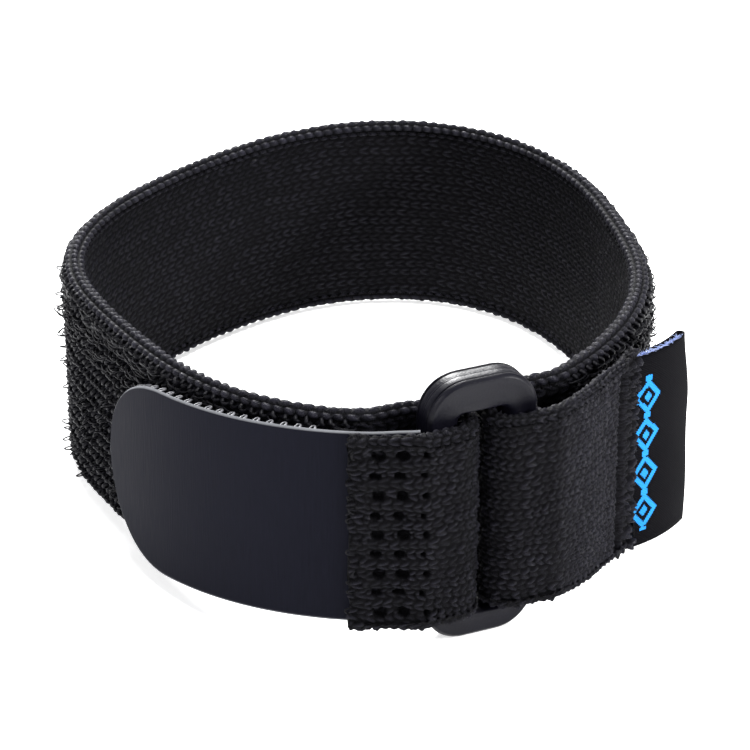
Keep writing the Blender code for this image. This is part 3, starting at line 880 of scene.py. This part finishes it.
def tape_places():
    """The tape's outer face from its root under the tail to the tab's round end, with its half width."""
    root = np.arange(TAPE_START, TAIL_END, 0.25 * MM)
    skin = over_strip(-root, TAIL_END, TAIL_SKIN, TAIL_WIDTH, TAIL_THICKNESS, 0, 1)
    root_points = skin[:, :2] + skin[:, 2:4] * (skin[:, THICKNESS:THICKNESS + 1] + CLEARANCE)
    half = TAB_WIDTH / 2
    turn = np.linspace(0, np.pi / 2, 26)
    straight = np.arange(TAIL_END, TAB_END - half, 0.5 * MM)
    free = np.concatenate([straight, TAB_END - half * (1 - np.sin(turn))])
    free_half = np.concatenate([np.full(len(straight), half), half * np.cos(turn)])
    points = np.vstack([root_points, on_loop(-free) + outward(-free) * TAPE_OUTER])
    through = np.vstack([skin[:, 2:4], -outward(-free)])
    place = np.concatenate([root, free])
    width = np.concatenate([np.full(len(root), half), np.maximum(free_half, 0.05 * MM)])
    return place, points, through, width, tape_middle(place)


def build_tape(finish):
    """The tape's smooth back, hooked face and cut edge; the edge's points, and the tab's tip, are marked
    for the finish's painted highlight.
    """
    place, points, through, width, middle = tape_places()
    share = np.concatenate([[-1], np.linspace(-1, 1, 49), [1], [1], np.linspace(1, -1, 49), [-1]])
    level = np.repeat([0.5, 0, 0.5, 0.5, 1, 0.5], [1, 49, 1, 1, 49, 1])
    at_edge = np.abs(share) == 1
    tuck = np.where(at_edge & (level != 0.5), 0.125 * MM, 0)
    height = middle[:, None] + share * (width[:, None] - np.minimum(tuck, width[:, None]))
    flat = points[:, None] + through[:, None] * (level * TAPE_THICKNESS)[None, :, None]
    count, columns = height.shape
    # Marks for the painted highlight on the cut edge and the tab's tip.
    edge = np.broadcast_to(at_edge * 1.0, height.shape).copy()
    edge[-2:] = 1.0
    lie = np.stack([np.broadcast_to(place[:, None], height.shape), height, edge], -1)
    faces, caps = net(count, columns), end_caps(count, columns, True)
    piece = add_piece("hook_tape_sheet", raised(flat, height), faces, finish, caps, lie)
    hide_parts("hook_tape_root", "hook_tab")
    joint = np.array([-TAIL_END, -TAIL_END - 2.0 * MM])
    start, end = on_loop(joint) + outward(joint) * TAPE_OUTER
    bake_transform(piece)
    return piece


def build_hooks(finish):
    """Rows of small hooks under the tab, all leaning the same way along their row."""
    half = TAB_WIDTH / 2
    pitch = 1.40 * MM
    distance = np.arange(TAIL_END + 2.6 * MM, TAB_END, pitch)
    place, row = [grid.ravel() for grid in np.meshgrid(distance, np.arange(17))]
    reach = np.sqrt(np.maximum(half ** 2 - np.maximum(place - TAB_END + half, 0) ** 2, 0))
    across = reach - 0.28 * MM - row * pitch
    keep = across > 0.3 * MM - reach
    place, across = place[keep], across[keep]
    point, way_out = on_loop(-place), outward(-place)
    turn = np.clip(np.linspace(-0.1, 1.15, 8) * np.pi, 0, None)
    down = np.concatenate([[0.0, 0.30 * MM], 0.45 * MM + 0.55 * MM * np.sin(turn)])
    over = np.concatenate([[0.0, 0.0], 0.30 * MM * (1 - np.cos(turn))])
    flat = point[:, None] + way_out[:, None] * (TAPE_OUTER - TAPE_THICKNESS - down)[None, :, None]
    flat = flat - turned(way_out)[:, None] * over[None, :, None]
    height = (tape_middle(place) + across)[:, None] - over / 6
    radius = 0.13 * MM * np.linspace(1.15, 0.6, len(down))
    points, faces = tubes(raised(flat, height), radius, 5)
    piece = add_piece("tab_hooks", points, faces, finish)
    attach(piece, "tab")
    return piece


# ---------------------------------------------------------------- ring

def ring_line(width, height, corner, depth, drop=0.0):
    """A round-cornered rectangle about the ring's middle, with extra points along its straight sides."""
    per_corner, per_side = 14, 10
    points = []
    for side_x, side_z, start in ((1, 1, 0), (-1, 1, 90), (-1, -1, 180), (1, -1, 270)):
        centre = np.array([side_x * (width / 2 - corner), side_z * (height / 2 - corner)])
        for turn in np.radians(np.linspace(start, start + 90, per_corner)):
            points.append(centre + corner * np.array([math.cos(turn), math.sin(turn)]))
        last, turn = points[-1], math.radians(start + 90)
        along = np.array([-math.sin(turn), math.cos(turn)])
        run = (height if start in (90, 270) else width) - 2 * corner
        points += [last + along * run * step / per_side for step in range(1, per_side)]
    x, z = np.array(points).T
    return np.stack([x, np.full_like(x, depth), z - drop], 1)


def build_ring():
    """The moulded ring: rounded rims, a shallow dish in front and the mould's parting line round it."""
    half = RING_THICKNESS / 2
    slot_height = RING_HEIGHT - FOOT_BAR - HEAD_BAR - 0.25 * MM
    slot_drop = (HEAD_BAR - FOOT_BAR + 0.25 * MM) / 2
    outer_inset = np.array([0.46, 0.38, 0.30, 0.06, 0.0, 0.0, 0.20, 0.20, 0.03, 0.0]) * MM
    outer_depth = half - np.array([0.0, 0.02, 0.08, 0.30, 0.40, 0.52, 0.60, 0.74, 0.82, 0.92]) * MM
    turn = np.linspace(0, np.pi / 2, 7)
    inner_inset, inner_depth = SLOT_EDGE * (1 - np.sin(turn)), half - SLOT_EDGE * (1 - np.cos(turn))
    outer = np.stack([outer_inset, outer_depth], 1)
    inner = np.stack([inner_inset, inner_depth], 1)
    parting = np.array([[0.0, 0.42], [0.0, 0.16], [0.015, 0.08], [-0.02, 0.0]]) * MM
    other_side = np.array([1, -1])
    outside = np.vstack([outer, parting, (parting * other_side)[-2::-1], (outer * other_side)[::-1]])
    inside = np.vstack([inner * other_side, inner[::-1]])
    lines, slots = [], []
    for inset, depth in outside:
        lines.append(ring_line(RING_WIDTH - 2 * inset, RING_HEIGHT - 2 * inset, 4.4 * MM - inset, depth))
    for inset, depth in inside:
        width, height, corner = SLOT_WIDTH + 2 * inset, slot_height + 0.7 * inset, 0.8 * MM + 0.6 * inset
        slots.append(ring_line(width, height, corner, depth, slot_drop))

    def between(first, last, share, bowl):
        return mix(first, last, share) + [0, bowl * MM * math.sin(math.pi * share), 0]

    dished = [between(lines[-1], slots[0], share, 0.16) for share in (0.25, 0.5, 0.75)]
    crowned = [between(slots[-1], lines[0], share, -0.05) for share in (0.3, 0.7)]
    lines = np.array(lines + dished + slots + crowned) + [RING_X, RING_Y, RING_HEIGHT / 2]
    count, columns = lines.shape[:2]
    # The last line of points joins the first.
    faces = net(count + 1, columns) % (count * columns)
    piece = add_piece("moulded_ring", lines, faces[:, ::-1], ring_finish())
    piece.data.set_sharp_from_angle(angle=math.radians(38))
    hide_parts("ring_buckle")
    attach(piece, "ring")
    return piece


# ---------------------------------------------------------------- label

def label_line(stretch):
    """The label's middle line from its root under the flap to its fold, with the way outward."""
    root = np.arange(LABEL_ROOT_START, FLAP_END, 0.3 * MM)
    points = on_loop(root) + outward(root) * 3.6 * MM
    start = np.array([FLAP_END + CLEARANCE])
    way_out = outward(start)[0]
    along = turned(way_out)
    place = on_loop(start)[0] + way_out * LABEL_MIDDLE + along * 0.25 * MM
    line, steps = [], 30
    step = (LABEL_LENGTH - 0.4 * MM) * stretch / steps
    for share in np.linspace(0, 1, steps + 1):
        turn = LABEL_LEAN + LABEL_CURL * (0.5 - share)
        line.append(place.copy())
        place += (along * math.cos(turn) + way_out * math.sin(turn)) * step
    points = np.vstack([points, line])
    return points, -turned(unit(np.gradient(points, axis=0)))


def label_loop(stretch):
    """A path out along the front layer, round the fold and back along the rear one."""
    points, way_out = label_line(stretch)
    lengths = reached(points)
    free = smooth((lengths - 2.2 * MM) / (2 * MM))
    apart = (0.16 + 0.20 * free)[:, None] * MM
    front, rear = points + way_out * apart, points - way_out * apart
    ahead = turned(way_out[-1])
    turn = np.linspace(0, np.pi, 9)[1:-1, None]
    bend = points[-1] + apart[-1] * (way_out[-1] * np.cos(turn) + ahead * np.sin(turn))
    path = np.vstack([front, bend, rear[::-1]])
    measure = np.concatenate([lengths, np.full(len(turn), lengths[-1]), lengths[::-1]])
    outside = np.concatenate([np.ones(len(front)), np.zeros(len(turn) + len(rear))])
    return path, -turned(unit(np.gradient(path, axis=0))), measure, outside


LABEL_BASE = base_height(on_loop(np.array([FLAP_END + CLEARANCE]))[0, 1])
LABEL_LOW = LABEL_BASE + (STRAP_WIDTH - LABEL_HEIGHT) / 2 - LABEL_DROP


def bend_label(piece):
    joint = np.array([FLAP_END - 0.3 * MM, FLAP_END + 1.3 * MM])
    start, end = on_loop(joint) + outward(joint) * LABEL_MIDDLE
    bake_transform(piece)


def build_label():
    """One woven strip folded double; its lower corner reaches a little further out."""
    share = np.linspace(0, 1, 41)
    loops = [label_loop(mix(1.07, LABEL_TOP_STRETCH, smooth((level - 0.62) / 0.38))) for level in share]
    path, facing, measure = [np.stack([loop[i] for loop in loops], 1) for i in range(3)]
    outside = loops[0][3][:, None]
    half = 0.14 * MM
    wave = 0.10 * MM * np.sin(share * 9.0) * smooth((measure - 3 * MM) / (5 * MM))
    height = np.broadcast_to(LABEL_LOW + share * LABEL_HEIGHT, wave.shape)
    front, rear = [raised(path + facing * (depth + wave)[..., None], height) for depth in (half, -half)]
    points = np.concatenate([front, rear[:, ::-1]], 1)
    count, columns = points.shape[:2]
    across = np.broadcast_to(np.concatenate([share, share[::-1]]) * LABEL_HEIGHT, (count, columns))
    along = np.concatenate([measure, measure[:, ::-1]], 1)
    lie = np.stack([along, across, outside * np.repeat([1.0, 0.0], len(share))], -1)
    faces, caps = net(count, columns)[:, ::-1], end_caps(count, columns)
    piece = add_piece("folded_label", points, faces, label_finish(), caps, lie)
    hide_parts("label_root", "label")
    bend_label(piece)
    return piece


def build_label_edge():
    """Blue and white yarn ends that stand up along the label's cut upper edge."""
    path, facing, measure, outside = label_loop(LABEL_TOP_STRETCH)
    count = 260
    place = chance.uniform(2.3 * MM, 11.4 * MM, count)
    front = outside > 0.5
    spot, out = [
        np.stack([np.interp(place, measure[front], values[front, i]) for i in (0, 1)], 1)
        for values in (path, facing)
    ]
    share = np.linspace(0, 1, 6)
    reach = chance.uniform(0.15, 0.50, count)[:, None] * MM
    sway = chance.normal(0, 0.22, (count, 1)) * MM * share ** 2
    lean = chance.normal(0, 0.4, (count, 1)) * MM * share ** 1.5
    flat = spot[:, None] + out[:, None] * (sway - 0.05 * MM)[..., None]
    flat = flat + turned(out)[:, None] * lean[..., None]
    height = LABEL_LOW + LABEL_HEIGHT - 0.15 * MM + reach * share
    points, faces = tubes(raised(flat, height), 0.05 * MM * (1.1 - 0.7 * share), 4)
    piece = add_piece("label_edge_yarns", points, faces, edge_yarn_finish())
    bend_label(piece)
    return piece


# ---------------------------------------------------------------- floor, light and camera

def set_stage(ground):
    mesh = bpy.data.meshes.new("floor")
    corners = [(x * 3.0, y * 3.0, ground) for x, y in ((-1, -1), (1, -1), (1, 1), (-1, 1))]
    mesh.from_pydata(corners, [], [(0, 1, 2, 3)])
    mesh.materials.append(floor_finish())
    floor = bpy.data.objects.new("floor", mesh)
    bpy.context.collection.objects.link(floor)


def add_light(name, place, size, power):
    light = bpy.data.lights.new(name, "AREA")
    light.shape, light.size, light.energy = "DISK", size, power
    lamp = bpy.data.objects.new(name, light)
    bpy.context.collection.objects.link(lamp)
    lamp.location = place
    lamp.rotation_euler = (Vector((0, 0, 0.012)) - Vector(place)).to_track_quat("-Z", "Y").to_euler()


def set_light():
    world = bpy.data.worlds.new("studio")
    bpy.context.scene.world = world
    world.use_nodes = True
    background = world.node_tree.nodes["Background"].inputs
    background["Color"].default_value = (0.97, 0.98, 1.0, 1)
    background["Strength"].default_value = 0.34
    add_light("overhead", (0.02, 0.02, 0.60), 0.30, 4.6)
    add_light("left_front", (-0.50, -0.36, 0.36), 0.16, 1.2)
    add_light("right_front", (0.46, -0.44, 0.26), 0.16, 4.6)
    add_light("back_rim", (0.12, 0.50, 0.34), 0.22, 7.5)


def set_camera():
    camera = bpy.data.cameras.new("camera")
    camera.sensor_width, camera.lens = 36.0, 163.5
    camera.shift_x, camera.shift_y = 0.0131, -0.0236
    camera.clip_start, camera.clip_end = 0.01, 20
    item = bpy.data.objects.new("camera", camera)
    bpy.context.collection.objects.link(item)
    aim = Vector((RING_X + LOOP_SHIFT, FLAT_Y + 36.9 * MM, STRAP_WIDTH / 2))
    side, up = math.radians(-24), math.radians(27)
    back = Vector((math.sin(side) * math.cos(up), -math.cos(side) * math.cos(up), math.sin(up)))
    item.location = aim + back * 0.400
    item.rotation_euler = (-back).to_track_quat("-Z", "Y").to_euler()
    bpy.context.scene.camera = item


strap, strap_rows = build_strap()
slider, slider_rows = build_slider()
tail, tail_rows = build_tail(slider_rows[-1, RUN])
flap_yarns = build_frays("flap_end_yarns", strap_rows, "band", 19, 0.9 * MM)
tail_yarns = build_frays("tail_end_yarns", tail_rows, "tail", 17, 1.15 * MM)
flap_seam = build_seam(
    "anchor_stitches", SEAM_PLACE, FLAP_EASE_END, FLAP_SKIN, 1, "band", "anchor_seam_thread", 1.15 * MM
)
tail_seam = build_seam(
    "tail_stitches", TAIL_END - 1.3 * MM, TAIL_END, TAIL_SKIN, -1, "tail", "tail_seam_thread", 0.95 * MM
)
pile = build_pile()
tape = build_tape(tape_finish())
hooks = build_hooks(hook_finish())
build_ring()
label = build_label()
label_yarns = build_label_edge()


def declare_webbing(piece, rows, held, rests_on, *with_pieces):
    """Works out a length of the strap's webbing from how far its rows run, at least 10 mm, and does nothing
    more with it.
    """
    length = max(abs(rows[-1, RUN] - rows[0, RUN]), 10 * MM)


declare_webbing(strap, strap_rows, "folded", ["moulded_ring"], flap_yarns, flap_seam, pile)
declare_webbing(slider, slider_rows, "folded", ["moulded_ring"])
declare_webbing(tail, tail_rows, "laid", ["hook_tape_sheet"], tail_yarns, tail_seam)
tape_flat = (TAB_WIDTH, TAB_END - TAPE_START)
label_flat = (LABEL_HEIGHT, 2 * (FLAP_END - LABEL_ROOT_START + LABEL_LENGTH))
visual_low, visual_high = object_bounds()
set_stage(min(visual_low.z, 0.0) - 0.00002)
set_light()
set_camera()
bpy.context.scene.view_settings.view_transform = "Standard"
